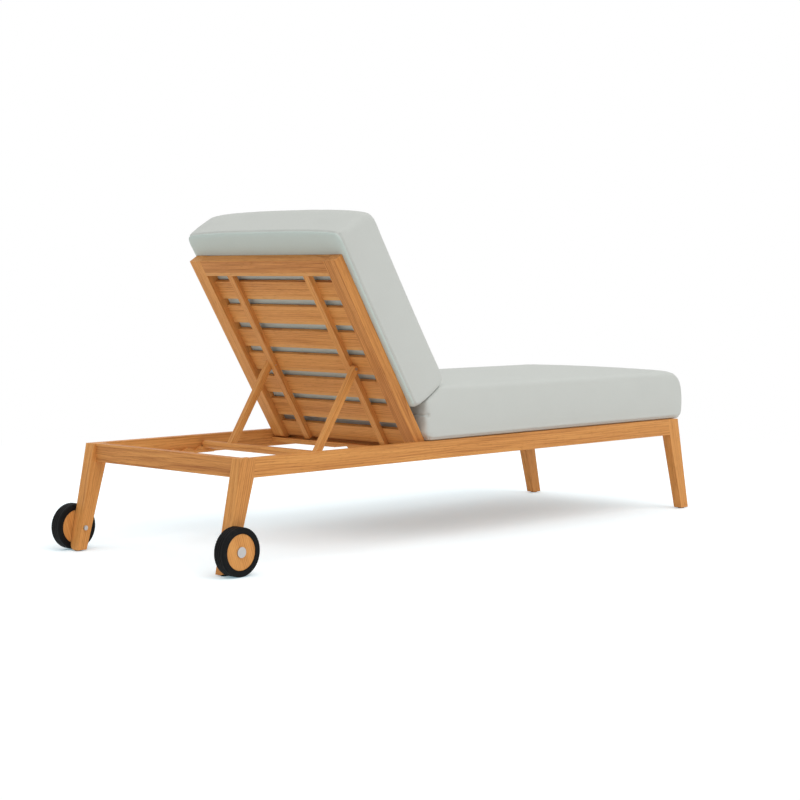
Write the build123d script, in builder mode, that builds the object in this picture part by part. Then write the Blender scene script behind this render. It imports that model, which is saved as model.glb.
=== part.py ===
from build123d import *
from math import asin, cos, degrees, hypot, radians, sin, sqrt
import os

# Chaise lounger of oiled hardwood: a folding slatted backrest held up by a
# prop in a toothed strip, two wheels at the head end and two box cushions.
# Millimetres. +X runs from the head end to the foot end, +Y to the left of
# someone who lies on it, +Z up. The origin is on the floor, under the middle
# of the overall length and width.

# Main frame
frame_length = 2000
frame_width = 711
rail_top = 318
rail_depth = 54.5
rail_thickness = 28
end_rail_setback = 4
wood_ease = 1.5

# Head legs, which carry the wheels
head_leg_rear = 3
head_leg_top = 51.5
head_leg_under_rail = 44.7
head_leg_foot = 33
head_leg_splay = 63.5
head_leg_thickness = 39
head_leg_round = 20

# Foot legs
foot_leg_top = 53
foot_leg_under_rail = 45
foot_leg_foot = 38.5
foot_leg_splay = 65.5
foot_leg_thickness = 32

# Glides under the legs
glide_radius = 11
glide_height = 3

# Wheels and axles
tyre_radius = 68.5
tyre_width = 38
tyre_lift = 0.3
tyre_shoulder = 3
groove_depth = 1.6
groove_width = 2.4
groove_pitch = 8
hub_radius = 51
hub_recess = 2
hub_ease = 1.2
axle_radius = 6
axle_behind = 38
wheel_gap = 1
bush_wall = 3
spacer_radius = 13
cap_radius = 15
cap_thickness = 3
nut_radius = 7.5
nut_thickness = 4
thread_end = 2
running_clearance = 0.05
side_play = 0.3

# Backrest
back_angle = 58.34
back_reach = 657.4
back_tail = 12
back_thickness = 36
back_side_gap = 1
back_rail_height = 53
back_bottom_height = 57
stile_width = 50
back_slat_count = 6
back_slat_height = 63.5
back_top_gap = 31.5
back_slat_thickness = 13
back_slat_recess = 4
batten_width = 24
batten_thickness = 16
batten_tail = 9
batten_offset = 171.5
flat_stand = 11
pivot_from_head = 737

# Hinge pins, hidden in the rails and stiles
hinge_radius = 4
hinge_bush_wall = 2
hinge_bush_length = 30
hinge_bite = 18

# Prop
arm_thickness = 18
arm_width = 22
arm_reach = 272.8
arm_back_gap = 0.5
arm_side_gap = 0.5
pin_radius = 2.5
pin_head_radius = 5
pin_head_thickness = 2
bar_radius = 12
bar_from_head = 425
bar_height = 289.5
bar_flat_gap = 0.5
tenon_radius = 4.5
tenon_gap = 1

# Ratchet strips
ratchet_thickness = 14
ratchet_root = 7
ratchet_lead = 20
tooth_count = 4
tooth_from_head = 414
tooth_height = 13
tooth_drop = 1.2
tooth_pitch = 55
tooth_round = 9
root_round = 5

# Hinge rail under the backrest's lower edge
hinge_rail_width = 60
hinge_rail_thickness = 14.8
hinge_rail_lead = 20
hinge_rail_gap = 0.5
notch_wide = 61
notch_narrow = 41
notch_depth = 9

# Seat deck
seat_slat_count = 12
seat_slat_width = 60
seat_slat_thickness = 16
seat_slat_drop = 3
seat_slat_play = 0.5
deck_gap = 4
ledger_width = 20
ledger_height = 20
ledger_gap = 0.5
screw_radius = 2
screw_head_radius = 4
screw_head_height = 3
screw_length = 30

# Cushions
cushion_width = 705
cushion_edge = 17
cushion_belly = 5
cushion_draw = 3
soft_gap = 0.4
press_gap = 0.8
seat_cushion_height = 165
seat_crown = 24
seat_lead = 1.6
seat_overhang = 28
seat_foot_round = 75
seat_foot_tuck = 27
seat_head_round = 12
seat_side_round = 14
back_cushion_thickness = 155
back_crown = 10
back_cushion_above = 70
back_cushion_low = 110.4
back_top_front_round = 48
back_top_rear_round = 10
back_low_front_round = 30
back_low_rear_round = 20
back_side_round = 14

# Shares of the rounding at a cushion's end, and of its length between, at
# which a cross-section is drawn
round_shares = (0, 0.04, 0.13, 0.3, 0.55, 1)
length_shares = (0.2, 0.35, 0.5, 0.65, 0.8)

# Places worked out from the sizes
head_x = -(frame_length + foot_leg_splay - axle_behind - tyre_radius) / 2
foot_x = head_x + frame_length
half_width = frame_width / 2
inner_half = half_width - rail_thickness
rail_bottom = rail_top - rail_depth
half_back = back_thickness / 2
pivot = Vector(head_x + pivot_from_head, 0, rail_top + flat_stand - half_back)
up_back = Vector(-cos(radians(back_angle)), 0, sin(radians(back_angle)))
rearward = Vector(-sin(radians(back_angle)), 0, -cos(radians(back_angle)))
stile_outer = inner_half - back_side_gap
stile_inner = stile_outer - stile_width
slat_front = back_slat_recess - half_back
slat_rear = slat_front + back_slat_thickness
deck_x = pivot.X + half_back + deck_gap
slat_top = rail_top - seat_slat_drop
slat_bottom = slat_top - seat_slat_thickness
axle = Vector(head_x - axle_behind, 0, tyre_radius + tyre_lift)
wheel_inner = half_width + wheel_gap

arm_depth = slat_rear + arm_back_gap + arm_width / 2
arm_top = pivot + up_back * arm_reach + rearward * arm_depth
bar_centre = Vector(head_x + bar_from_head, 0, bar_height)
arm_run = bar_centre - arm_top
arm_length = hypot(arm_run.X, arm_run.Z)
arm_inner = batten_offset + batten_width / 2 + arm_side_gap
arm_outer = arm_inner + arm_thickness

# x runs up the back from the hinge axis, y is -Y and z is forward
back_plane = Plane(origin=pivot, x_dir=up_back, z_dir=-rearward)
# x runs up the back from the hinge axis, z is +Y
stile_plane = Plane(origin=pivot, x_dir=up_back, z_dir=(0, 1, 0))
# x runs down the arm from its pin, z is +Y
arm_plane = Plane(origin=arm_top, x_dir=arm_run, z_dir=(0, 1, 0))

SIDES = {"left": 1, "right": -1}
CORNER = (Align.MIN, Align.MIN, Align.MIN)


def save(piece, name):
    piece.part.label = name
    export_step(piece.part, f"parts/{name}.step")


def on_side(near, far, sign):
    """The stretch of Y between two distances from the middle, lowest first."""
    return (near, far) if sign > 0 else (-far, -near)


def across(point, offset, sign):
    """A plane across Y, off the middle by that much, that faces outward."""
    origin = (point.X, sign * offset, point.Z)
    return Plane(origin=origin, x_dir=(1, 0, 0), z_dir=(0, sign, 0))


def lengthwise(low_y):
    """A plane whose x is +X and y is +Z, and whose normal is -Y."""
    return Plane(origin=(0, low_y, 0), x_dir=(1, 0, 0), z_dir=(0, -1, 0))


def board(plane, x, y, z, long_axis):
    """A board between three pairs of limits, eased along its long edges."""
    with BuildPart(plane) as piece:
        with Locations((x[0], y[0], z[0])):
            Box(x[1] - x[0], y[1] - y[0], z[1] - z[0], align=CORNER)
        fillet(piece.edges().filter_by(long_axis), radius=wood_ease)
    return piece


def outline_board(points, low_y, high_y):
    """A board whose side view is an outline, between two values of Y."""
    with BuildPart() as piece:
        with BuildSketch(lengthwise(low_y)):
            with BuildLine():
                Polyline(*points, close=True)
            make_face()
        extrude(amount=low_y - high_y)
    return piece


def pin(plane, steps):
    """A round pin of (radius, length) steps, one after another along the normal."""
    with BuildPart() as piece:
        start = 0
        for radius, length in steps:
            with BuildSketch(plane.offset(start)):
                Circle(radius)
            extrude(amount=length)
            start += length
    return piece


def sleeve(plane, inner, outer, length):
    with BuildPart() as piece:
        with BuildSketch(plane):
            Circle(outer)
            Circle(inner, mode=Mode.SUBTRACT)
        extrude(amount=length)
    return piece


def save_pair(make, name):
    """Write one node that holds the same small piece on both sides."""
    pieces = [make(sign) for sign in SIDES.values()]
    with BuildPart() as group:
        for piece in pieces:
            add(piece.part)
    save(group, name)


os.makedirs("parts", exist_ok=True)

# Head legs: splayed, with a rounded outer corner, bored for the axle
head_leg_top_x = head_x - head_leg_rear
head_leg_foot_x = head_leg_top_x - head_leg_splay
head_leg_points = (
    (head_leg_top_x, rail_top),
    (head_leg_top_x + head_leg_top, rail_top),
    (head_leg_top_x + head_leg_under_rail, rail_bottom),
    (head_leg_foot_x + head_leg_foot, glide_height),
    (head_leg_foot_x, glide_height),
)
for side, sign in SIDES.items():
    limits = on_side(half_width - head_leg_thickness, half_width, sign)
    plain_leg = outline_board(head_leg_points, *limits)
    with BuildPart() as head_leg:
        add(plain_leg.part)
        outer_face = head_leg.faces().sort_by(Axis.Y)[-1 if sign > 0 else 0]
        fillet(outer_face.edges().sort_by(Axis.X)[0], radius=head_leg_round)
        with BuildSketch(across(axle, half_width, sign)):
            Circle(axle_radius)
        extrude(amount=-head_leg_thickness, mode=Mode.SUBTRACT)
    save(head_leg, f"head_leg_{side}")

# Foot legs: splayed, with crisp edges
foot_leg_points = (
    (foot_x, rail_top),
    (foot_x + foot_leg_splay, glide_height),
    (foot_x + foot_leg_splay - foot_leg_foot, glide_height),
    (foot_x - foot_leg_under_rail, rail_bottom),
    (foot_x - foot_leg_top, rail_top),
)
for side, sign in SIDES.items():
    limits = on_side(half_width - foot_leg_thickness, half_width, sign)
    foot_leg = outline_board(foot_leg_points, *limits)
    save(foot_leg, f"foot_leg_{side}")

# Side rails, cut at their ends to the legs, bored for the hinge pins
rail_points = (
    (head_leg_top_x + head_leg_top, rail_top),
    (foot_x - foot_leg_top, rail_top),
    (foot_x - foot_leg_under_rail, rail_bottom),
    (head_leg_top_x + head_leg_under_rail, rail_bottom),
)
for side, sign in SIDES.items():
    plain_rail = outline_board(rail_points, *on_side(inner_half, half_width, sign))
    with BuildPart() as side_rail:
        add(plain_rail.part)
        fillet(side_rail.edges().filter_by(Axis.X), radius=wood_ease)
        with BuildSketch(across(pivot, inner_half, sign)):
            Circle(hinge_radius)
        extrude(amount=hinge_bite, mode=Mode.SUBTRACT)
    save(side_rail, f"side_rail_{side}")

# Head rail and foot rail, between the legs
head_rail_x = head_x + end_rail_setback
head_rail_half = half_width - head_leg_thickness
head_rail = board(
    Plane.XY,
    (head_rail_x, head_rail_x + rail_thickness),
    (-head_rail_half, head_rail_half),
    (rail_bottom, rail_top),
    Axis.Y,
)
save(head_rail, "head_rail")
foot_rail_x = foot_x - end_rail_setback - rail_thickness
foot_rail_half = half_width - foot_leg_thickness
foot_rail = board(
    Plane.XY,
    (foot_rail_x, foot_rail_x + rail_thickness),
    (-foot_rail_half, foot_rail_half),
    (rail_bottom, rail_top),
    Axis.Y,
)
save(foot_rail, "foot_rail")

# Glides under the four legs
glide_places = (
    (head_leg_foot_x + head_leg_foot / 2, half_width - head_leg_thickness / 2),
    (foot_x + foot_leg_splay - foot_leg_foot / 2, half_width - foot_leg_thickness / 2),
)
with BuildPart() as leg_glides:
    with BuildSketch():
        with Locations(*[(x, sign * y) for x, y in glide_places for sign in SIDES.values()]):
            Circle(glide_radius)
    extrude(amount=glide_height)
save(leg_glides, "leg_glides")

# Hinge rail, with a shallow notch in the middle of its lower edge and a lip
# that carries the first slat
hinge_rail_x = pivot.X - hinge_rail_lead
hinge_rail_foot_x = hinge_rail_x + hinge_rail_width
hinge_rail_top = pivot.Z - half_back - hinge_rail_gap
hinge_rail_bottom = hinge_rail_top - hinge_rail_thickness
hinge_rail_points = (
    (-inner_half, hinge_rail_top),
    (-inner_half, hinge_rail_bottom),
    (-notch_wide / 2, hinge_rail_bottom),
    (-notch_narrow / 2, hinge_rail_bottom + notch_depth),
    (notch_narrow / 2, hinge_rail_bottom + notch_depth),
    (notch_wide / 2, hinge_rail_bottom),
    (inner_half, hinge_rail_bottom),
    (inner_half, hinge_rail_top),
)
with BuildPart() as hinge_rail:
    with BuildSketch(Plane(origin=(hinge_rail_x, 0, 0), x_dir=(0, 1, 0), z_dir=(1, 0, 0))):
        with BuildLine():
            Polyline(*hinge_rail_points, close=True)
        make_face()
    extrude(amount=hinge_rail_width)
    with Locations((deck_x, -inner_half, hinge_rail_top)):
        Box(hinge_rail_foot_x - deck_x, 2 * inner_half, slat_bottom - hinge_rail_top, align=CORNER)
save(hinge_rail, "hinge_rail")

# Seat deck: ledgers along the side rails, and slats screwed down on them
deck_end_x = foot_x - foot_leg_top - deck_gap
slat_half = inner_half - seat_slat_play
slat_pitch = (deck_end_x - deck_x - seat_slat_width) / (seat_slat_count - 1)
slat_places = [deck_x + seat_slat_width / 2 + n * slat_pitch for n in range(seat_slat_count)]
ledger_x = hinge_rail_foot_x + ledger_gap
screw_y = inner_half - ledger_width / 2
screw_bite = screw_length - seat_slat_thickness

for side, sign in SIDES.items():
    ledger_y = on_side(inner_half - ledger_width, inner_half, sign)
    with BuildPart() as ledger:
        with Locations((ledger_x, ledger_y[0], slat_bottom - ledger_height)):
            Box(deck_end_x - ledger_x, ledger_width, ledger_height, align=CORNER)
        with BuildSketch(Plane.XY.offset(slat_bottom)):
            with Locations(*[(x, sign * screw_y) for x in slat_places]):
                Circle(screw_radius)
        extrude(amount=-screw_bite, mode=Mode.SUBTRACT)
    save(ledger, f"seat_ledger_{side}")

for n, x in enumerate(slat_places, start=1):
    slat_x = (x - seat_slat_width / 2, x + seat_slat_width / 2)
    plain_slat = board(
        Plane.XY, slat_x, (-slat_half, slat_half), (slat_bottom, slat_top), Axis.Y
    )
    with BuildPart() as seat_slat:
        add(plain_slat.part)
        with Locations(*[(x, sign * screw_y, slat_top) for sign in SIDES.values()]):
            CounterBoreHole(screw_radius, screw_head_radius, screw_head_height)
    save(seat_slat, f"seat_slat_{n}")

with BuildPart() as slat_screws:
    screw_places = [(x, sign * screw_y) for x in slat_places for sign in SIDES.values()]
    for radius, length in ((screw_head_radius, screw_head_height), (screw_radius, screw_length)):
        with BuildSketch(Plane.XY.offset(slat_top)):
            with Locations(*screw_places):
                Circle(radius)
        extrude(amount=-length)
save(slat_screws, "slat_screws")

# Ratchet strips: rounded teeth, whose peaks fall towards the head
root_z = rail_bottom + ratchet_root
first_tooth_x = head_x + tooth_from_head
ratchet_foot_x = first_tooth_x + tooth_pitch / 2 + ratchet_lead
ratchet_points = [(ratchet_foot_x, rail_bottom), (ratchet_foot_x, root_z)]
for n in range(tooth_count):
    tooth_x = first_tooth_x - n * tooth_pitch
    ratchet_points.append((tooth_x + tooth_pitch / 2, root_z))
    ratchet_points.append((tooth_x, root_z + tooth_height - n * tooth_drop))
ratchet_head_x = first_tooth_x - (tooth_count - 1) * tooth_pitch - tooth_pitch / 2
ratchet_points += [(ratchet_head_x, root_z), (ratchet_head_x, rail_bottom)]

for side, sign in SIDES.items():
    limits = on_side(inner_half - ratchet_thickness, inner_half, sign)
    plain_strip = outline_board(ratchet_points, *limits)
    with BuildPart() as ratchet_strip:
        add(plain_strip.part)
        cross_edges = ratchet_strip.edges().filter_by(Axis.Y)
        inside = cross_edges.sort_by(Axis.X)[2:-2]
        by_height = inside.sort_by(Axis.Z)
        roots = by_height[:tooth_count]
        peaks = by_height[tooth_count:]
        fillet(peaks, radius=tooth_round)
        fillet(roots, radius=root_round)
    save(ratchet_strip, f"ratchet_strip_{side}")

# Backrest stiles, which end in a half round about the hinge axis
hinge_bore = hinge_radius + running_clearance
bush_outer = hinge_bore + hinge_bush_wall
for side, sign in SIDES.items():
    limits = on_side(stile_inner, stile_outer, sign)
    with BuildPart() as back_stile:
        with BuildSketch(stile_plane.offset(limits[0])):
            Circle(half_back)
            with Locations((back_reach / 2, 0)):
                Rectangle(back_reach, back_thickness)
        extrude(amount=stile_width)
        long_edges = back_stile.edges().filter_by(lambda edge: edge.length > back_reach / 2)
        fillet(long_edges, radius=wood_ease)
        with BuildSketch(across(pivot, stile_outer, sign)):
            Circle(bush_outer)
        extrude(amount=-hinge_bush_length, mode=Mode.SUBTRACT)
    save(back_stile, f"back_stile_{side}")

# Backrest rails and slats, between the stiles
inner_y = (-stile_inner, stile_inner)
top_rail_z = (-half_back, half_back)
slat_z = (-slat_rear, -slat_front)
back_top_rail = board(
    back_plane, (back_reach - back_rail_height, back_reach), inner_y, top_rail_z, Axis.Y
)
save(back_top_rail, "back_top_rail")
bottom_rail_high = back_bottom_height - back_tail
back_bottom_rail = board(back_plane, (-back_tail, bottom_rail_high), inner_y, slat_z, Axis.Y)
save(back_bottom_rail, "back_bottom_rail")

first_slat_high = back_reach - back_rail_height - back_top_gap
back_pitch = (first_slat_high - bottom_rail_high) / back_slat_count
for n in range(back_slat_count):
    slat_high = first_slat_high - n * back_pitch
    back_slat = board(back_plane, (slat_high - back_slat_height, slat_high), inner_y, slat_z, Axis.Y)
    save(back_slat, f"back_slat_{n + 1}")

# Battens behind the slats, bored for the pins of the prop
batten_length = batten_tail + back_reach - back_rail_height
for side, sign in SIDES.items():
    with BuildPart(back_plane) as plain_batten:
        with Locations((-batten_tail, -sign * batten_offset, -slat_rear)):
            Box(
                batten_length,
                batten_width,
                batten_thickness,
                align=(Align.MIN, Align.CENTER, Align.MAX),
            )
    with BuildPart() as back_batten:
        add(plain_batten.part)
        with BuildSketch(across(arm_top, batten_offset + batten_width / 2, sign)):
            Circle(pin_radius)
        extrude(amount=-batten_width, mode=Mode.SUBTRACT)
    save(back_batten, f"back_batten_{side}")

# Prop arms, rounded at the pin and coped onto the crossbar
for side, sign in SIDES.items():
    limits = on_side(arm_inner, arm_outer, sign)
    with BuildPart() as prop_arm:
        with BuildSketch(arm_plane.offset(limits[0])):
            Circle(arm_width / 2)
            with Locations((arm_length / 2, 0)):
                Rectangle(arm_length, arm_width)
            with Locations((arm_length, 0)):
                Circle(bar_radius, mode=Mode.SUBTRACT)
            Circle(pin_radius + running_clearance, mode=Mode.SUBTRACT)
        extrude(amount=arm_thickness)
        long_edges = prop_arm.edges().filter_by(lambda edge: edge.length > arm_length / 2)
        fillet(long_edges, radius=wood_ease)
    save(prop_arm, f"prop_arm_{side}")

# Crossbar, whose thin ends lie over the ratchet strips
bar_half = inner_half - ratchet_thickness - side_play
tenon_length = inner_half - tenon_gap - bar_half
prop_crossbar = pin(
    Plane(origin=(bar_centre.X, tenon_gap - inner_half, bar_centre.Z), z_dir=(0, 1, 0)),
    ((tenon_radius, tenon_length), (bar_radius, 2 * bar_half), (tenon_radius, tenon_length)),
)
save(prop_crossbar, "prop_crossbar")


def prop_pin(sign):
    shank = batten_width + arm_side_gap + arm_thickness + side_play
    plane = across(arm_top, batten_offset - batten_width / 2, sign)
    return pin(plane, ((pin_radius, shank), (pin_head_radius, pin_head_thickness)))


def hinge_pin(sign):
    length = hinge_bush_length - side_play + back_side_gap + hinge_bite
    plane = across(pivot, stile_outer - hinge_bush_length + side_play, sign)
    return pin(plane, ((hinge_radius, length),))


def hinge_bush(sign):
    plane = across(pivot, stile_outer - hinge_bush_length, sign)
    return sleeve(plane, hinge_bore, bush_outer, hinge_bush_length)


save_pair(prop_pin, "prop_pins")
save_pair(hinge_pin, "hinge_pins")
save_pair(hinge_bush, "hinge_bushes")

# Wheels: a grooved rubber tyre on a wooden hub with a bush
tyre_points = [(hub_radius, 0), (tyre_radius - tyre_shoulder, 0), (tyre_radius, tyre_shoulder)]
groove_floor = tyre_radius - groove_depth
for place in (-1, 0, 1):
    middle = tyre_width / 2 + place * groove_pitch
    tyre_points += [
        (tyre_radius, middle - groove_width / 2),
        (groove_floor, middle - groove_width / 4),
        (groove_floor, middle + groove_width / 4),
        (tyre_radius, middle + groove_width / 2),
    ]
tyre_points += [
    (tyre_radius, tyre_width - tyre_shoulder),
    (tyre_radius - tyre_shoulder, tyre_width),
    (hub_radius, tyre_width),
]
axle_bore = axle_radius + running_clearance
wheel_bush_outer = axle_bore + bush_wall
hub_width = tyre_width - 2 * hub_recess

for side, sign in SIDES.items():
    wheel_plane = across(axle, wheel_inner, sign)
    # x runs out from the axle, y runs outboard along it
    rim_plane = Plane(origin=wheel_plane.origin, x_dir=(1, 0, 0), z_dir=(0, 0, sign))
    with BuildPart() as tyre:
        with BuildSketch(rim_plane):
            with BuildLine():
                Polyline(*tyre_points, close=True)
            make_face()
        revolve(axis=Axis(wheel_plane.origin, (0, 1, 0)))
    save(tyre, f"tyre_{side}")

    hub_plane = wheel_plane.offset(hub_recess)
    with BuildPart() as wheel_hub:
        with BuildSketch(hub_plane):
            Circle(hub_radius)
            Circle(wheel_bush_outer, mode=Mode.SUBTRACT)
        extrude(amount=hub_width)
        rims = wheel_hub.edges().filter_by(GeomType.CIRCLE).group_by(SortBy.RADIUS)[-1]
        chamfer(rims, length=hub_ease)
    save(wheel_hub, f"wheel_hub_{side}")
    save(sleeve(hub_plane, axle_bore, wheel_bush_outer, hub_width), f"wheel_bush_{side}")

    # The bolt's flat head is the cap on the wheel, its tip shows inside the leg
    bolt_start = half_width - head_leg_thickness - nut_thickness - thread_end
    shank = wheel_inner + hub_recess + hub_width + side_play - bolt_start
    axle_bolt = pin(
        across(axle, bolt_start, sign), ((axle_radius, shank), (cap_radius, cap_thickness))
    )
    save(axle_bolt, f"axle_bolt_{side}")


def axle_spacer(sign):
    length = wheel_gap + hub_recess - side_play
    return sleeve(across(axle, half_width, sign), axle_radius, spacer_radius, length)


def axle_nut(sign):
    plane = across(axle, half_width - head_leg_thickness - nut_thickness, sign)
    return sleeve(plane, axle_radius, nut_radius, nut_thickness)


save_pair(axle_spacer, "axle_spacers")
save_pair(axle_nut, "axle_nuts")


# Cushions: crowned boxes with drawn-in sides and rounded ends, lofted
# through cross-sections of lines and arcs
def rounding(distance, radius):
    """How far a quarter round has drawn in at that distance from the end."""
    left = max(radius - distance, 0)
    return radius - sqrt(radius**2 - left**2)


def bulged(start, end, bulge):
    """An arc that stands out by `bulge` to the right of the way to its end."""
    way = (Vector(*end) - Vector(*start)).normalized()
    middle = (Vector(*start) + Vector(*end)) / 2
    return ThreePointArc(start, middle + Vector(way.Y, -way.X) * bulge, end)


def cushion_section(plane, half, low, high, crown):
    """A cross-section whose x is across the cushion and y through it."""
    edge = cushion_edge
    cut = edge * (1 - sin(radians(45)))
    with BuildSketch(plane) as section:
        with BuildLine():
            Line((edge - half, low), (half - edge, low))
            ThreePointArc((half - edge, low), (half - cut, low + cut), (half, low + edge))
            bulged((half, low + edge), (half, high - edge), cushion_belly)
            ThreePointArc((half, high - edge), (half - cut, high - cut), (half - edge, high))
            bulged((half - edge, high), (edge - half, high), crown)
            ThreePointArc((edge - half, high), (cut - half, high - cut), (-half, high - edge))
            bulged((-half, high - edge), (-half, low + edge), cushion_belly)
            ThreePointArc((-half, low + edge), (cut - half, low + cut), (edge - half, low))
        make_face()
    return section


def cushion(plane_at, length, low, thickness, crown, rounds):
    """A cushion from its first end to its last; rounds holds a (side, low
    face, high face) radius for each end."""
    first, last = rounds
    near = [share * max(first) for share in round_shares]
    far = [length - share * max(last) for share in reversed(round_shares)]
    sections = []
    for along in near + [share * length for share in length_shares] + far:
        side, under, over = [
            rounding(along, a) + rounding(length - along, b) for a, b in zip(first, last)
        ]
        bow = 1 - (2 * along / length - 1) ** 2
        half = cushion_width / 2 - cushion_belly - side - cushion_draw * bow
        section = cushion_section(
            plane_at(along), half, low + under, low + thickness - over, crown * (1 + bow) / 2
        )
        sections.append(section.sketch)
    with BuildPart() as piece:
        loft(sections=sections, ruled=True)
    return piece


# Seat cushion, whose head end leans on the back and is pressed by its cushion
seat_start = pivot.X + seat_lead
seat_length = foot_x + seat_overhang - seat_start


def seat_plane(along):
    return Plane(origin=(seat_start + along, 0, 0), x_dir=(0, 1, 0), z_dir=(1, 0, 0))


whole_seat = cushion(
    seat_plane,
    seat_length,
    rail_top + soft_gap,
    seat_cushion_height,
    seat_crown,
    (
        (seat_side_round, seat_head_round, seat_head_round),
        (seat_side_round, seat_foot_tuck, seat_foot_round),
    ),
)
back_face = Plane(origin=pivot - rearward * (half_back + press_gap), z_dir=-rearward)
pressed_face = Plane(origin=pivot + up_back * (back_cushion_low - press_gap), z_dir=up_back)
with BuildPart() as seat_cushion:
    add(whole_seat.part)
    split(bisect_by=back_face, keep=Keep.TOP)
    split(bisect_by=pressed_face, keep=Keep.BOTTOM)
save(seat_cushion, "seat_cushion")


# Back cushion, which rides with the backrest
def back_cushion_plane(along):
    origin = pivot + up_back * (back_cushion_low + along)
    return Plane(origin=origin, x_dir=(0, -1, 0), z_dir=up_back)


back_cushion = cushion(
    back_cushion_plane,
    back_reach + back_cushion_above - back_cushion_low,
    half_back + soft_gap,
    back_cushion_thickness,
    back_crown,
    (
        (back_side_round, back_low_rear_round, back_low_front_round),
        (back_side_round, back_top_rear_round, back_top_front_round),
    ),
)
save(back_cushion, "back_cushion")

# Joint places and the prop's swing against the back
bar_at_flat = pivot.Z - half_back - bar_flat_gap - bar_radius
arm_at_flat = pivot.Z - arm_depth
flat_lean = degrees(asin((arm_at_flat - bar_at_flat) / arm_length))
rest_lean = arm_run.get_angle(up_back)
print("hinge", pivot, "arm pin", arm_top, "axle", axle)
print("arm against back at rest", rest_lean, "lying flat", flat_lean)
print("ratio", (rest_lean - flat_lean) / back_angle)
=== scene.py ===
import itertools
import math

import bmesh
import bpy
import numpy
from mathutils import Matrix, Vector, noise


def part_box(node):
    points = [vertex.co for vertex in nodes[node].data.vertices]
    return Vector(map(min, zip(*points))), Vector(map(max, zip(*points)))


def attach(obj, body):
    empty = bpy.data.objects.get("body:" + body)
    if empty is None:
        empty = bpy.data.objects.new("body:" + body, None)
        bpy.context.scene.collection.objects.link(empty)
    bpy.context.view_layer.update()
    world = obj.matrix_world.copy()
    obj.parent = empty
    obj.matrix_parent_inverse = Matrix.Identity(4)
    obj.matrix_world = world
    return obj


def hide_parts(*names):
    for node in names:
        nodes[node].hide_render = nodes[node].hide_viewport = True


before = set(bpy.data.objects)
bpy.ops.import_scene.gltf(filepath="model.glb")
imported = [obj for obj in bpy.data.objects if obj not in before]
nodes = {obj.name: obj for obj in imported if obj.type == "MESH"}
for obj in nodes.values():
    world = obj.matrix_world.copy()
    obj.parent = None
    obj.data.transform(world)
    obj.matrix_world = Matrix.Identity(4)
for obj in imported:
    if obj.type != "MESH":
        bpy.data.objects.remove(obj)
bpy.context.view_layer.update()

scene = bpy.context.scene

# ---------------------------------------------------------------------------
# Camera: it stands low behind the head end, on the lounger's right-hand side,
# with a long lens, as the photographer's did.
lens_data = bpy.data.cameras.new("camera")
lens_data.lens = 85.266
lens_data.sensor_width = 36
lens_data.clip_end = 80
camera = bpy.data.objects.new("camera", lens_data)
camera_heading, camera_tilt = 0.7757, 0.0681
camera.location = (-4.36368, -4.27908, 0.83268)
camera.rotation_euler = (math.pi / 2 - camera_tilt, 0, camera_heading - math.pi / 2)
scene.collection.objects.link(camera)
scene.camera = camera


# ---------------------------------------------------------------------------
# Studio: a white floor that fades into a white surround, an even sky that is
# stronger overhead, and one very soft lamp from above on the camera's side.
def put(tree, kind, sockets=None, **settings):
    """Place a node; `sockets` gives inputs a value or another node's output."""
    node = tree.nodes.new(kind)
    for name, value in settings.items():
        setattr(node, name, value)
    for name, value in (sockets or {}).items():
        if isinstance(value, bpy.types.NodeSocket):
            tree.links.new(value, node.inputs[name])
        else:
            node.inputs[name].default_value = value
    return node


def reckon(tree, operation, *terms, clamp=False):
    """A Math node's output."""
    sockets = dict(enumerate(terms))
    return put(tree, "ShaderNodeMath", sockets, operation=operation, use_clamp=clamp).outputs[0]


def spread(tree, value, low, high, to_low=0.0, to_high=1.0):
    """A value brought smoothly from one range to another."""
    sockets = {0: value, 1: low, 2: high, 3: to_low, 4: to_high}
    return put(tree, "ShaderNodeMapRange", sockets, interpolation_type="SMOOTHSTEP").outputs[0]


def seen_direct(tree):
    """1 for the rays of the camera, of gloss and of glass, 0 for diffuse light."""
    path = put(tree, "ShaderNodeLightPath")
    direct = reckon(tree, "MAXIMUM", path.outputs["Is Camera Ray"], path.outputs["Is Glossy Ray"])
    return reckon(tree, "MAXIMUM", direct, path.outputs["Is Transmission Ray"])


def fresh_material(name):
    material = bpy.data.materials.new(name)
    material.use_nodes = True
    material.node_tree.nodes.clear()
    return material


def close_with(tree, shader):
    put(tree, "ShaderNodeOutputMaterial", {"Surface": shader})


sky_low, sky_high = 0.38, 0.98
studio = bpy.data.worlds.new("studio")
studio.use_nodes = True
studio.node_tree.nodes.clear()
sky = studio.node_tree
direction = put(sky, "ShaderNodeTexCoord").outputs["Generated"]
height = put(sky, "ShaderNodeSeparateXYZ", {0: direction}).outputs["Z"]
level = put(sky, "ShaderNodeMapRange", {0: height, 1: 0.0, 2: 1.0, 3: sky_low, 4: sky_high}).outputs[0]
plain = put(sky, "ShaderNodeMix", {0: seen_direct(sky), 2: level, 3: 1.0}, data_type="FLOAT").outputs[0]
background = put(sky, "ShaderNodeBackground", {"Color": (1, 1, 1, 1), "Strength": plain})
put(sky, "ShaderNodeOutputWorld", {"Surface": background.outputs[0]})
scene.world = studio

lamp_data = bpy.data.lights.new("soft_lamp", "SUN")
lamp_data.energy = 0.9
lamp_data.angle = math.radians(45)
lamp = bpy.data.objects.new("soft_lamp", lamp_data)
lamp.rotation_euler = Vector((-0.02, -0.60, 0.80)).to_track_quat("Z", "Y").to_euler()
scene.collection.objects.link(lamp)

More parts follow.
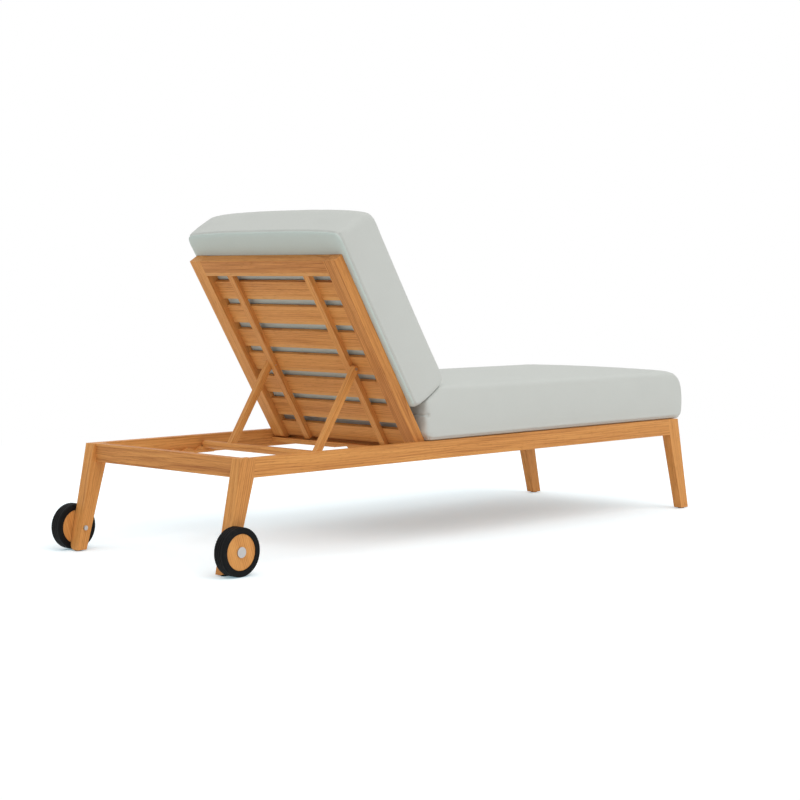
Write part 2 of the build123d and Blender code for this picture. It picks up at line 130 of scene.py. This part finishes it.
floor_half, floor_drop = 30.0, 0.0003
fade_start, fade_end = 1.9, 3.6
lift_colour, lift_strength = (0.60, 0.88, 1, 1), 0.32
floor_mesh = bpy.data.meshes.new("floor")
floor_mesh.from_pydata(
    [(x * floor_half, y * floor_half, -floor_drop) for x, y in ((-1, -1), (1, -1), (1, 1), (-1, 1))],
    [],
    [(0, 1, 2, 3)],
)
floor = bpy.data.objects.new("floor", floor_mesh)
scene.collection.objects.link(floor)
floor_paint = fresh_material("floor_white")
paint = floor_paint.node_tree
place = put(paint, "ShaderNodeTexCoord").outputs["Object"]
away = put(paint, "ShaderNodeVectorMath", {0: place}, operation="LENGTH").outputs["Value"]
far = reckon(paint, "MULTIPLY", spread(paint, away, fade_start, fade_end), seen_direct(paint))
lift = put(
    paint,
    "ShaderNodeEmission",
    {"Color": lift_colour, "Strength": reckon(paint, "MULTIPLY", seen_direct(paint), lift_strength)},
)
matt = put(paint, "ShaderNodeBsdfDiffuse", {"Color": (0.95, 0.95, 0.95, 1)})
near_floor = put(paint, "ShaderNodeAddShader", {0: matt.outputs[0], 1: lift.outputs[0]})
white = put(paint, "ShaderNodeEmission", {"Color": (1, 1, 1, 1), "Strength": 1.0})
both = put(paint, "ShaderNodeMixShader", {0: far, 1: near_floor.outputs[0], 2: white.outputs[0]})
close_with(paint, both.outputs[0])
floor_mesh.materials.append(floor_paint)

scene.view_settings.view_transform = "Standard"


# ---------------------------------------------------------------------------
# Side rails, head rail and foot rail: planed and oiled teak with eased long
# edges. The side rails run the whole length, and the end rails lie between
# the legs, a little behind their faces.
def linear(red, green, blue):
    """A colour written from 0 to 255 as the shader wants it."""
    shares = [value / 255 for value in (red, green, blue)]
    return [s / 12.92 if s <= 0.04045 else ((s + 0.055) / 1.055) ** 2.4 for s in shares] + [1]


def new_group(name, inputs, outputs):
    group = bpy.data.node_groups.new(name, "ShaderNodeTree")
    for socket, kind in inputs:
        group.interface.new_socket(socket, in_out="INPUT", socket_type="NodeSocket" + kind)
    for socket, kind in outputs:
        group.interface.new_socket(socket, in_out="OUTPUT", socket_type="NodeSocket" + kind)
    return group, put(group, "NodeGroupInput").outputs


def close_group(group, results):
    put(group, "NodeGroupOutput", results)


def stretched(tree, vector, along, across):
    """The vector scaled along the grain and across it."""
    sockets = {0: vector, 1: (along, across, across)}
    return put(tree, "ShaderNodeVectorMath", sockets, operation="MULTIPLY").outputs[0]


def cloudy(tree, vector, detail=3.0, rough=0.55):
    sockets = {"Vector": vector, "Scale": 1.0, "Detail": detail, "Roughness": rough}
    return put(tree, "ShaderNodeTexNoise", sockets).outputs


def blend_colours(tree, share, first, second, kind="MIX"):
    sockets = {0: share, 6: first, 7: second}
    return put(tree, "ShaderNodeMix", sockets, data_type="RGBA", blend_type=kind).outputs[2]


def teak_grain_group():
    """Sawn teak as a solid: x of Vector runs along the grain, in metres."""
    group, given = new_group(
        "teak_grain",
        (("Vector", "Vector"), ("Seed", "Float"), ("Tone_and_light", "Float"), ("Edge_highlight", "Float")),
        (("Color", "Color"), ("Roughness", "Float"), ("Height", "Float")),
    )
    shift = put(
        group, "ShaderNodeVectorMath", {0: (1.37, 0.71, 0.53), "Scale": given["Seed"]}, operation="SCALE"
    ).outputs[0]
    board = put(group, "ShaderNodeVectorMath", {0: given["Vector"], 1: shift}, operation="ADD").outputs[0]

    # the slow wander of the grain, and the rings about a heart outside the board
    wander = cloudy(group, stretched(group, board, 1.6, 7.0), detail=2.0)["Color"]
    wander = put(
        group,
        "ShaderNodeVectorMath",
        {0: wander, 1: (0.5, 0.5, 0.5)},
        operation="SUBTRACT",
    ).outputs[0]
    wander = stretched(group, wander, 0.0, 0.030)
    own = put(group, "ShaderNodeVectorMath", {0: given["Vector"], 1: wander}, operation="ADD").outputs[0]
    heart = put(group, "ShaderNodeVectorMath", {0: own, 1: (0, 0.083, 0.061)}, operation="ADD").outputs[0]
    heart = stretched(group, heart, 0.0, 1.0)
    radius = put(group, "ShaderNodeVectorMath", {0: heart}, operation="LENGTH").outputs["Value"]
    radius = reckon(group, "ADD", radius, reckon(group, "MULTIPLY", given["Seed"], 0.0017))
    ring = reckon(group, "FRACT", reckon(group, "DIVIDE", radius, 0.0062))
    late_wood = reckon(group, "POWER", ring, 3.0)

    # lengthwise streaks, broad and fine, and the open pores
    broad = cloudy(group, stretched(group, board, 1.3, 60.0), detail=3.0)["Fac"]
    streak = cloudy(group, stretched(group, board, 5.0, 300.0), detail=3.0, rough=0.65)["Fac"]
    pore = cloudy(group, stretched(group, board, 34.0, 620.0), detail=2.0)["Fac"]
    pore = spread(group, pore, 0.56, 0.68)

    depth = reckon(group, "MULTIPLY", reckon(group, "SUBTRACT", broad, 0.5), 0.85)
    depth = reckon(group, "MULTIPLY_ADD", reckon(group, "SUBTRACT", streak, 0.5), 1.15, depth)
    depth = reckon(group, "MULTIPLY_ADD", reckon(group, "SUBTRACT", late_wood, 0.25), 0.28, depth)
    depth = reckon(group, "ADD", depth, 0.42)
    # The tone input shifts the whole board lighter or darker; it carries the board's random tone and, on
    # some boards, painted light and shade.
    depth = reckon(group, "SUBTRACT", depth, given["Tone_and_light"], clamp=True)
    ramp = put(group, "ShaderNodeValToRGB", {0: depth})
    stops = ramp.color_ramp.elements
    stops[0].position, stops[0].color = 0.0, linear(229, 166, 93)
    stops[1].position, stops[1].color = 1.0, linear(160, 94, 42)
    middle = stops.new(0.45)
    middle.color = linear(211, 145, 77)

    # The pale strip mixed in here is a painted highlight, for floor light on the back boards' eased lower
    # edges.
    pale = blend_colours(group, given["Edge_highlight"], ramp.outputs[0], linear(224, 168, 101))
    dark = blend_colours(group, reckon(group, "MULTIPLY", pore, 0.30), pale, linear(118, 64, 30))
    rough = reckon(group, "MULTIPLY_ADD", streak, 0.16, 0.44)
    rough = reckon(group, "MULTIPLY_ADD", pore, 0.14, rough)
    relief = reckon(group, "MULTIPLY_ADD", streak, 0.35, reckon(group, "MULTIPLY", pore, -0.65))
    close_group(group, {"Color": dark, "Roughness": rough, "Height": relief})
    return group


teak_grain = teak_grain_group()
board_number = itertools.count(1)
up_back = Vector((-0.524920, 0, 0.851154))
rearward = Vector((-0.851154, 0, -0.524920))
hinge = Vector((-0.2425, 0, 0.311))


def turned_to(tree, output, direction, kind):
    """Texture coordinates turned so that their x runs along `direction`."""
    source = put(tree, "ShaderNodeTexCoord").outputs[output]
    turn = Vector(direction).to_track_quat("X", "Z").inverted().to_euler()
    return put(tree, "ShaderNodeMapping", {"Vector": source, "Rotation": turn}, vector_type=kind).outputs[0]


def measured(tree, place, direction):
    """How far a place lies along a direction."""
    sockets = {0: place, 1: direction}
    return put(tree, "ShaderNodeVectorMath", sockets, operation="DOT_PRODUCT").outputs["Value"]


def oil_teak(name, grain, band=None, tone_and_light_shift=0.0):
    """Give a CAD piece its own board of teak, whose grain runs along `grain`.
    `band` is a stretch of height up the back painted as a pale strip, a
    painted highlight for the floor light the board's eased lower edge would
    catch. A positive last argument lightens the board and a negative one
    darkens it; on some boards it paints light, on others shade."""
    number = next(board_number)
    material = fresh_material("teak_" + name)
    tree = material.node_tree
    vector = turned_to(tree, "Object", grain, "POINT")
    painted_edge_highlight = 0.0
    # The band is the painted highlight: a pale strip where the lower edge would catch floor light.
    if band:
        place = put(tree, "ShaderNodeTexCoord").outputs["Object"]
        rise = reckon(tree, "SUBTRACT", measured(tree, place, up_back), hinge.dot(up_back))
        over = spread(tree, rise, band[0] - 0.001, band[0] + 0.001)
        under = spread(tree, rise, band[1] - 0.002, band[1] + 0.002, 1.0, 0.0)
        painted_edge_highlight = reckon(tree, "MULTIPLY", reckon(tree, "MULTIPLY", over, under), 0.55)
    # A random tone for each board, plus the given shift, which paints shade on the head rail, right back
    # stile, top back rail and first back slat, and light on the prop arms.
    tone_and_light = (number * 0.618034 % 1 - 0.5) * 0.12 + tone_and_light_shift
    board = put(tree, "ShaderNodeGroup", node_tree=teak_grain)
    tree.links.new(vector, board.inputs["Vector"])
    board.inputs["Seed"].default_value = number
    board.inputs["Tone_and_light"].default_value = tone_and_light
    if band:
        tree.links.new(painted_edge_highlight, board.inputs["Edge_highlight"])
    relief = put(
        tree, "ShaderNodeBump", {"Strength": 0.35, "Distance": 0.0004, "Height": board.outputs["Height"]}
    )
    shader = put(
        tree,
        "ShaderNodeBsdfPrincipled",
        {
            "Base Color": board.outputs["Color"],
            "Roughness": board.outputs["Roughness"],
            "Specular IOR Level": 0.25,
            "Normal": relief.outputs[0],
        },
    )
    close_with(tree, shader.outputs[0])
    nodes[name].material_slots[0].material = material


lengthwise, crosswise = (1, 0, 0), (0, 1, 0)
sides = ("left", "right")
for side in sides:
    oil_teak("side_rail_" + side, lengthwise)
# The head rail is darkened: painted shade on its face turned from the light.
oil_teak("head_rail", crosswise, tone_and_light_shift=-0.22)
oil_teak("foot_rail", crosswise)


# ---------------------------------------------------------------------------
# Legs: four splayed teak legs with the grain down their length. The head legs
# lean out to the wheels and have a rounded outer corner.
head_leg_grain, foot_leg_grain = (-0.225, 0, -0.974), (0.225, 0, -0.974)
for side in sides:
    oil_teak("head_leg_" + side, head_leg_grain, tone_and_light_shift=0.09 if side == "left" else 0.0)
    oil_teak("foot_leg_" + side, foot_leg_grain)


# ---------------------------------------------------------------------------
# Glides: small black nylon discs, moulded with a fine grain and nailed under
# the legs.
def moulded_grain_group():
    """The fine pitted skin of moulded plastic or rubber."""
    group, given = new_group(
        "moulded_grain",
        (("Vector", "Vector"), ("Color", "Color"), ("Grain", "Float"), ("Dust", "Float")),
        (("Color", "Color"), ("Roughness", "Float"), ("Height", "Float")),
    )
    finer = put(
        group, "ShaderNodeVectorMath", {0: given["Vector"], "Scale": given["Grain"]}, operation="SCALE"
    ).outputs[0]
    pits = cloudy(group, finer, detail=2.0)["Fac"]
    wear = cloudy(group, stretched(group, given["Vector"], 38.0, 38.0), detail=3.0)["Fac"]
    dusty = reckon(group, "MULTIPLY", spread(group, wear, 0.45, 0.75), given["Dust"])
    colour = blend_colours(group, dusty, given["Color"], linear(150, 146, 138))
    rough = reckon(group, "MULTIPLY_ADD", wear, 0.22, reckon(group, "MULTIPLY_ADD", pits, 0.12, 0.48))
    close_group(group, {"Color": colour, "Roughness": rough, "Height": pits})
    return group


moulded_grain = moulded_grain_group()


def mould(name, colour, grain, dust, depth, gloss=0.28):
    """A material of moulded plastic or rubber."""
    material = fresh_material(name)
    tree = material.node_tree
    skin = put(tree, "ShaderNodeGroup", node_tree=moulded_grain)
    tree.links.new(put(tree, "ShaderNodeTexCoord").outputs["Object"], skin.inputs["Vector"])
    skin.inputs["Color"].default_value = colour
    skin.inputs["Grain"].default_value = grain
    skin.inputs["Dust"].default_value = dust
    relief = put(
        tree, "ShaderNodeBump", {"Strength": 0.4, "Distance": depth, "Height": skin.outputs["Height"]}
    )
    shader = put(
        tree,
        "ShaderNodeBsdfPrincipled",
        {
            "Base Color": skin.outputs["Color"],
            "Roughness": skin.outputs["Roughness"],
            "Specular IOR Level": gloss,
            "Normal": relief.outputs[0],
        },
    )
    close_with(tree, shader.outputs[0])
    return material


nylon_black = mould("nylon_black", linear(22, 22, 22), 1400.0, 0.06, 0.0001)
nodes["leg_glides"].material_slots[0].material = nylon_black


# ---------------------------------------------------------------------------
# Hinge rail and seat deck: a thin cross board under the hinge, and twelve
# slats that lie on two ledgers, held down by steel screws sunk in their ends.
oil_teak("hinge_rail", crosswise)
for side in sides:
    oil_teak("seat_ledger_" + side, lengthwise)
for number in range(1, 13):
    oil_teak(f"seat_slat_{number}", crosswise)


def brushed_steel_group():
    """Steel that was brushed one way: fine scratches, and a faint cloudiness."""
    group, given = new_group(
        "brushed_steel",
        (("Vector", "Vector"), ("Color", "Color")),
        (("Color", "Color"), ("Roughness", "Float"), ("Height", "Float")),
    )
    scratch = cloudy(group, stretched(group, given["Vector"], 240.0, 4200.0), detail=2.0)["Fac"]
    cloud = cloudy(group, stretched(group, given["Vector"], 160.0, 160.0), detail=2.0)["Fac"]
    colour = blend_colours(
        group, reckon(group, "MULTIPLY", cloud, 0.25), given["Color"], linear(150, 149, 148)
    )
    rough = reckon(group, "MULTIPLY_ADD", scratch, 0.18, reckon(group, "MULTIPLY_ADD", cloud, 0.12, 0.18))
    close_group(group, {"Color": colour, "Roughness": rough, "Height": scratch})
    return group


brushed_steel = brushed_steel_group()
steel = fresh_material("steel_brushed")
tree = steel.node_tree
brushing = put(tree, "ShaderNodeGroup", node_tree=brushed_steel)
tree.links.new(turned_to(tree, "Object", (0, 0, 1), "POINT"), brushing.inputs["Vector"])
brushing.inputs["Color"].default_value = linear(195, 190, 187)
relief = put(
    tree, "ShaderNodeBump", {"Strength": 0.25, "Distance": 0.00005, "Height": brushing.outputs["Height"]}
)
shader = put(
    tree,
    "ShaderNodeBsdfPrincipled",
    {
        "Base Color": brushing.outputs["Color"],
        "Metallic": 1.0,
        "Roughness": brushing.outputs["Roughness"],
        "Normal": relief.outputs[0],
    },
)
close_with(tree, shader.outputs[0])
nodes["slat_screws"].material_slots[0].material = steel


# ---------------------------------------------------------------------------
# Ratchet strips: two toothed teak strips glued low on the inside of the side
# rails. The prop's bar drops in front of one of their rounded teeth.
for side in sides:
    oil_teak("ratchet_strip_" + side, lengthwise)


# ---------------------------------------------------------------------------
# Backrest: two teak stiles with a top rail, six slats and a bottom board
# between them, and two battens behind the slats. The lower edge of each
# crosswise board has a painted pale strip, a painted highlight for the floor
# light its eased edge would catch. The right stile, top rail and first slat
# are darkened as painted shade.
# The right stile is darkened as painted shade on its rear face; the left stile is made a little lighter.
oil_teak("back_stile_left", up_back, tone_and_light_shift=0.10)
oil_teak("back_stile_right", up_back, tone_and_light_shift=-0.20)
for name in ("back_top_rail", *[f"back_slat_{number}" for number in range(1, 7)], "back_bottom_rail"):
    corners = [Vector(vert.co) - hinge for vert in nodes[name].data.vertices]
    low_edge = min(corner.dot(up_back) for corner in corners)
    # The top rail and first slat are darkened: painted shade on their rear faces.
    painted_shade = 0.17 if name == "back_top_rail" else 0.08 if name == "back_slat_1" else 0.0
    oil_teak(name, crosswise, (low_edge, low_edge + 0.012), tone_and_light_shift=-painted_shade)
for side in sides:
    oil_teak("back_batten_" + side, up_back)


# ---------------------------------------------------------------------------
# Hinges: steel pins in white plastic bushes, hidden between the stiles and
# the side rails.
bush_white = mould("bush_white", linear(216, 214, 205), 900.0, 0.12, 0.0001)
nodes["hinge_bushes"].material_slots[0].material = bush_white
nodes["hinge_pins"].material_slots[0].material = steel


# ---------------------------------------------------------------------------
# Prop: two teak arms on steel pins beside the battens, and a round teak bar
# across their lower ends, turned thin where it lies over the strips.
arm_grain = (-0.5415, 0, -0.8407)
# The arms are made lighter: painted light on faces that the backrest shades.
for side in sides:
    oil_teak("prop_arm_" + side, arm_grain, tone_and_light_shift=0.22)
oil_teak("prop_crossbar", crosswise)
nodes["prop_pins"].material_slots[0].material = steel


# ---------------------------------------------------------------------------
# Wheels: a black rubber tyre round a turned teak hub, on a white bush. A
# steel bolt with a flat polished head goes through hub, spacer and leg, and
# has its nut inside the leg.
rubber_black = mould("rubber_black", linear(13, 13, 14), 1100.0, 0.02, 0.00015, gloss=0.13)
hub_grain = (0.30, 0, -0.954)
for side in sides:
    oil_teak("wheel_hub_" + side, hub_grain)
    nodes["tyre_" + side].material_slots[0].material = rubber_black
    nodes["wheel_bush_" + side].material_slots[0].material = bush_white
    nodes["axle_bolt_" + side].material_slots[0].material = steel
nodes["axle_spacers"].material_slots[0].material = steel
nodes["axle_nuts"].material_slots[0].material = steel


# ---------------------------------------------------------------------------
# Seat cushion: a foam block in a tight cover of smooth outdoor cloth. One
# piece of cloth goes over the top and down the sides to a seam just above
# the deck, and a zip seam crosses the head end. Its own weight keeps it down.
def woven_cloth_group():
    """Plain weave laid on the faces of a box: Vector is in metres, Facing is
    the surface's normal in the same axes."""
    group, given = new_group(
        "woven_cloth",
        (("Vector", "Vector"), ("Facing", "Vector"), ("Color", "Color"), ("Thread", "Float")),
        (("Color", "Color"), ("Roughness", "Float"), ("Height", "Float")),
    )
    size = put(group, "ShaderNodeVectorMath", {0: given["Facing"]}, operation="ABSOLUTE").outputs[0]
    size = put(group, "ShaderNodeSeparateXYZ", {0: size}).outputs
    at = put(group, "ShaderNodeSeparateXYZ", {0: given["Vector"]}).outputs
    end_face = reckon(group, "GREATER_THAN", size["X"], reckon(group, "MAXIMUM", size["Y"], size["Z"]))
    side_face = reckon(group, "GREATER_THAN", size["Y"], reckon(group, "MAXIMUM", size["X"], size["Z"]))

    def chosen(share, first, second):
        sockets = {0: share, 2: first, 3: second}
        return put(group, "ShaderNodeMix", sockets, data_type="FLOAT").outputs[0]

    def wave(along):
        threads = reckon(group, "DIVIDE", along, given["Thread"])
        return reckon(group, "SINE", reckon(group, "MULTIPLY", threads, math.pi))

    warp = chosen(end_face, at["X"], at["Y"])
    weft = chosen(end_face, chosen(side_face, at["Y"], at["Z"]), at["Z"])
    warp_wave, weft_wave = wave(warp), wave(weft)
    over = reckon(group, "GREATER_THAN", reckon(group, "MULTIPLY", warp_wave, weft_wave), 0.0)
    thread = chosen(over, reckon(group, "ABSOLUTE", weft_wave), reckon(group, "ABSOLUTE", warp_wave))

    slub = cloudy(group, stretched(group, given["Vector"], 420.0, 420.0), detail=2.0)["Fac"]
    mottle = cloudy(group, stretched(group, given["Vector"], 9.0, 9.0), detail=3.0)["Fac"]
    shade = reckon(group, "MULTIPLY_ADD", reckon(group, "SUBTRACT", thread, 0.64), 0.10, 1.0)
    shade = reckon(group, "MULTIPLY_ADD", reckon(group, "SUBTRACT", slub, 0.5), 0.10, shade)
    shade = reckon(group, "MULTIPLY_ADD", reckon(group, "SUBTRACT", mottle, 0.5), 0.035, shade)
    colour = put(
        group, "ShaderNodeVectorMath", {0: given["Color"], "Scale": shade}, operation="SCALE"
    ).outputs[0]
    rough = reckon(group, "MULTIPLY_ADD", slub, 0.14, 0.76)
    relief = reckon(group, "MULTIPLY_ADD", slub, 0.35, thread)
    close_group(group, {"Color": colour, "Roughness": rough, "Height": relief})
    return group


woven_cloth = woven_cloth_group()


def cover_cloth(name, length_way, shade_tint_behind=None):
    """The cushions' cloth, whose threads follow the cushion's length. Behind
    the seam at the given place and direction, the cloth is painted a cooler,
    greener grey: a painted tint standing in for the colour of the shade there."""
    material = fresh_material(name)
    tree = material.node_tree
    weave = put(tree, "ShaderNodeGroup", node_tree=woven_cloth)
    colour = linear(202, 205, 200)
    weave.inputs["Color"].default_value = colour
    if shade_tint_behind:
        seam_place, ahead = shade_tint_behind
        place = put(tree, "ShaderNodeTexCoord").outputs["Object"]
        off = reckon(tree, "SUBTRACT", measured(tree, place, ahead), seam_place.dot(ahead))
        behind = spread(tree, off, -0.001, 0.001, 1.0, 0.0)
        # Painted shade: behind the seam the cloth gets the cool tint of its shade.
        shade_tinted = blend_colours(tree, behind, colour, linear(198, 209, 203))
        tree.links.new(shade_tinted, weave.inputs["Color"])
    tree.links.new(turned_to(tree, "Object", length_way, "POINT"), weave.inputs["Vector"])
    tree.links.new(turned_to(tree, "Normal", length_way, "VECTOR"), weave.inputs["Facing"])
    weave.inputs["Thread"].default_value = 0.0012
    relief = put(
        tree, "ShaderNodeBump", {"Strength": 0.3, "Distance": 0.0003, "Height": weave.outputs["Height"]}
    )
    shader = put(
        tree,
        "ShaderNodeBsdfPrincipled",
        {
            "Base Color": weave.outputs["Color"],
            "Roughness": weave.outputs["Roughness"],
            "Specular IOR Level": 0.2,
            "Sheen Weight": 0.08,
            "Sheen Roughness": 0.5,
            "Normal": relief.outputs[0],
        },
    )
    close_with(tree, shader.outputs[0])
    return material


def made_plain(obj):
    """Turn what the modifiers give into the piece's own mesh."""
    graph = bpy.context.evaluated_depsgraph_get()
    mesh = bpy.data.meshes.new_from_object(obj.evaluated_get(graph))
    obj.modifiers.clear()
    obj.data = mesh


def foam_block(name, node):
    """An evenly meshed block with the shape of the cushion's solid."""
    block = bpy.data.objects.new(name, nodes[node].data.copy())
    scene.collection.objects.link(block)
    work = bmesh.new()
    work.from_mesh(block.data)
    bmesh.ops.remove_doubles(work, verts=work.verts, dist=0.00002)
    work.to_mesh(block.data)
    work.free()
    even = block.modifiers.new("even", "REMESH")
    even.mode = "VOXEL"
    even.voxel_size = 0.0075
    ease = block.modifiers.new("ease", "SMOOTH")
    ease.factor = 0.5
    ease.iterations = 10
    fit = block.modifiers.new("fit", "SHRINKWRAP")
    fit.target = nodes[node]
    settle = block.modifiers.new("settle", "SMOOTH")
    settle.factor = 0.5
    settle.iterations = 3
    made_plain(block)
    return block


def kept_clear(point, walls):
    """The point, moved out of any wall; a wall is a (place, normal) pair."""
    for spot, normal in walls:
        depth = (point - spot).dot(normal)
        if depth < 0:
            point = point - normal * depth
    return point


def places(mesh, kind="co"):
    rows = numpy.empty(len(mesh.vertices) * 3)
    mesh.vertices.foreach_get(kind, rows)
    return rows.reshape(-1, 3)


def evened(mesh, moves, rounds):
    """The moves, evened out between neighbours that many times."""
    ends = numpy.empty(len(mesh.edges) * 2, dtype=int)
    mesh.edges.foreach_get("vertices", ends)
    first, second = ends[0::2], ends[1::2]
    neighbours = numpy.bincount(ends, minlength=len(moves))[:, None]
    for _ in range(rounds):
        total = numpy.zeros_like(moves)
        numpy.add.at(total, first, moves[second])
        numpy.add.at(total, second, moves[first])
        moves = (moves + total / neighbours) / 2
    return moves


def fill_cover(block, walls, swell, reach):
    """Swell the cover by pressure over foam whose skin is first moved by
    `swell`; the cover moves straight out, by at most `reach`."""
    normals = places(block.data, "normal")
    cut = numpy.array([swell(Vector(co), Vector(n)) for co, n in zip(places(block.data), normals)])
    foam = places(block.data) + evened(block.data, cut, 6)
    block.data.vertices.foreach_set("co", foam.ravel())
    block.data.update()
    cloth = block.modifiers.new("cover", "CLOTH")
    cloth.settings.quality = 4
    cloth.settings.mass = 0.3
    cloth.settings.tension_stiffness = 15
    cloth.settings.compression_stiffness = 15
    cloth.settings.shear_stiffness = 5
    cloth.settings.bending_stiffness = 0.5
    cloth.settings.use_pressure = True
    cloth.settings.uniform_pressure_force = 4
    cloth.settings.effector_weights.gravity = 0
    for step in range(1, 21):
        scene.frame_set(step)
    made_plain(block)
    scene.frame_set(1)
    rise = ((places(block.data) - foam) * normals).sum(axis=1, keepdims=True)
    rise = evened(block.data, numpy.clip(rise, -0.001, reach), 24)
    for vert, before, move in zip(block.data.vertices, foam, normals * rise):
        vert.co = kept_clear(Vector(before + move), walls)
    finer = block.modifiers.new("finer", "SUBSURF")
    finer.levels = finer.render_levels = 1
    made_plain(block)
    for vert in block.data.vertices:
        vert.co = kept_clear(vert.co.copy(), walls)


def bell(distance, width):
    return math.exp(-((distance / width) ** 2))


def sew(block, spot, normal, depth, shows=None):
    """Draw a seam in along the plane at `spot`; `shows` weakens it by place."""
    new_rows, near, reach = (-0.0045, -0.0018, 0.0, 0.0018, 0.0045), 0.02, 0.014
    groove, welt, welt_width = 0.0019, 0.0065, 0.0035
    work = bmesh.new()
    work.from_mesh(block.data)
    for offset in new_rows:
        close = [face for face in work.faces if abs((face.calc_center_median() - spot).dot(normal)) < near]
        parts = set(close)
        for face in close:
            parts.update(face.edges)
            parts.update(face.verts)
        bmesh.ops.bisect_plane(
            work, geom=list(parts), plane_co=spot + normal * offset, plane_no=normal, dist=0.0001
        )
    work.normal_update()
    moves = []
    for vert in work.verts:
        off = (vert.co - spot).dot(normal)
        if abs(off) < reach:
            out = vert.normal - normal * vert.normal.dot(normal)
            if out.length > 0.2:
                pull = 0.85 + 0.3 * noise.noise(vert.co * 60)
                push = 0.30 * bell(abs(off) - welt, welt_width) - pull * bell(off, groove)
                share = shows(vert) if shows else 1.0
                moves.append((vert, out.normalized() * depth * push * share))
    for vert, move in moves:
        vert.co += move
    work.to_mesh(block.data)
    work.free()


def pinch(block, spot, depth, width):
    """Draw the cloth in where two seams meet at a corner."""
    moves = []
    for vert in block.data.vertices:
        away = (vert.co - spot).length
        if away < 3 * width:
            moves.append((vert, vert.normal * (-depth * bell(away, width))))
    for vert, move in moves:
        vert.co += move


def finish_cushion(block, node, body, length_way, shade_tint_behind=None):
    for face in block.data.polygons:
        face.use_smooth = True
    block.data.materials.clear()
    block.data.materials.append(cover_cloth("cloth_" + block.name, length_way, shade_tint_behind))
    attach(block, body)
    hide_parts(node)


forward = -rearward
half_back, clear, half_width = 0.018, 0.0003, 0.35
rail_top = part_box("side_rail_left")[1].z
pressed = hinge + up_back * 0.1096
back_front = (hinge + forward * (half_back + clear), forward)
deck = (Vector((0, 0, rail_top + clear)), Vector((0, 0, 1)))
under_back_cushion = (pressed, -up_back)


def seat_swell(spot, normal):
    """Longer to the foot end, full at the lower edges and lower along the middle of the top."""
    longer, low_full, low_foot_full, top_foot_full, flatter = 0.0105, 0.005, 0.005, 0.010, 0.012
    foot = max(normal.x, 0)
    low_edge = 2 * max(-normal.z, 0) * math.hypot(normal.x, normal.y)
    middle = max(normal.z, 0) * (1 - (spot.y / half_width) ** 2) * min(max(spot.x / 0.2, 0), 1)
    out = (low_full + low_foot_full * foot) * low_edge
    out += top_foot_full * foot * max(normal.z, 0) - flatter * middle
    return Vector((longer * max(spot.x, 0), 0, 0)) + normal * out


seat = foam_block("seat_cushion_cover", "seat_cushion")
most_rise = 0.003
fill_cover(seat, (deck, back_front, under_back_cushion), seat_swell, most_rise)
seat_seam_height = rail_top + 0.008
sew(seat, Vector((0, 0, seat_seam_height)), Vector((0, 0, 1)), 0.0014)
zip_height = 0.3975
sew(
    seat,
    Vector((0, 0, zip_height)),
    Vector((0, 0, 1)),
    0.0034,
    shows=lambda vert: min(max(-vert.normal.x * 2.2 - 0.5, 0), 1) if vert.co.x < 0 else 0.0,
)
head_end = -0.2409
for side in (-1, 1):
    pinch(seat, Vector((head_end + 0.004, side * 0.349, zip_height)), 0.006, 0.010)
    for x in (head_end + 0.012, 1.0570):
        pinch(seat, Vector((x, side * 0.345, seat_seam_height)), 0.003, 0.012)
finish_cushion(seat, "seat_cushion", "frame", lengthwise)


# ---------------------------------------------------------------------------
# Back cushion: made like the seat cushion, with its seam round the rear edge,
# a little in front of the stiles. It rides with the backrest and rests its
# lower end on the seat cushion.
on_seat = (hinge + up_back * 0.1100, up_back)


def back_swell(spot, normal):
    """Fuller in front and at the upper end, but not at that end's corners."""
    top_full, corner_drawn, front_full = 0.010, 0.004, 0.004
    aside = min(abs(spot.y) / half_width, 1)
    upper = top_full * (1 - aside**4) - corner_drawn * aside**8
    out = upper * max(normal.dot(up_back), 0) + front_full * max(normal.dot(forward), 0)
    return normal * out


back = foam_block("back_cushion_cover", "back_cushion")
fill_cover(back, (back_front, on_seat), back_swell, most_rise)
seam_forward = half_back + 0.009
rear_seam = hinge + forward * seam_forward
sew(back, rear_seam, forward, 0.0024)
for side in (-1, 1):
    for reach in (0.1145, 0.7200):
        corner = rear_seam + up_back * reach + Vector((0, side * 0.346, 0))
        pinch(back, corner, 0.006, 0.011)
# Behind the rear seam the cloth carries a painted cool tint of shade.
finish_cushion(back, "back_cushion", "backrest", up_back, (rear_seam, forward))
